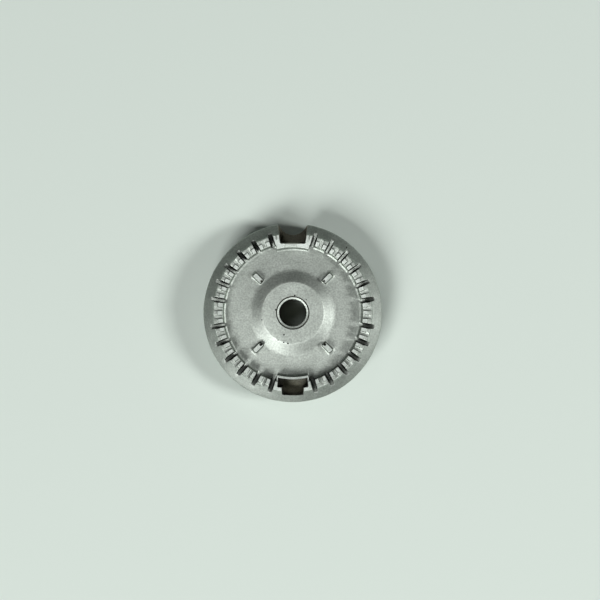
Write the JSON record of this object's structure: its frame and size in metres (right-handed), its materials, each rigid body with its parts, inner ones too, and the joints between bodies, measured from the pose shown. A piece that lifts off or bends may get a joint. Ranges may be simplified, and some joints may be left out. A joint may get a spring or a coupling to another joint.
{
  "type": "range burner head",
  "caption": "Round die-cast burner head for a gas range, with a castellated port ring, central boss and throat, cap posts, electrode notch and locating pocket",
  "frame": {"origin": "on the burner's axis, at the foot of the throat tube, which is the lowest face", "axes": "+Z is the burner's axis and points to the cap side, +Y points to the electrode notch, and -Y to the locating pocket"},
  "size_m": [0.0894, 0.0887, 0.022],
  "materials": {
    "cast_aluminium": "satin die-cast surface with a fine grain, and ground flat tops on the port ring"
  },
  "bodies": {
    "root": {"burner_head": "cast_aluminium"}
  },
  "joints": []
}
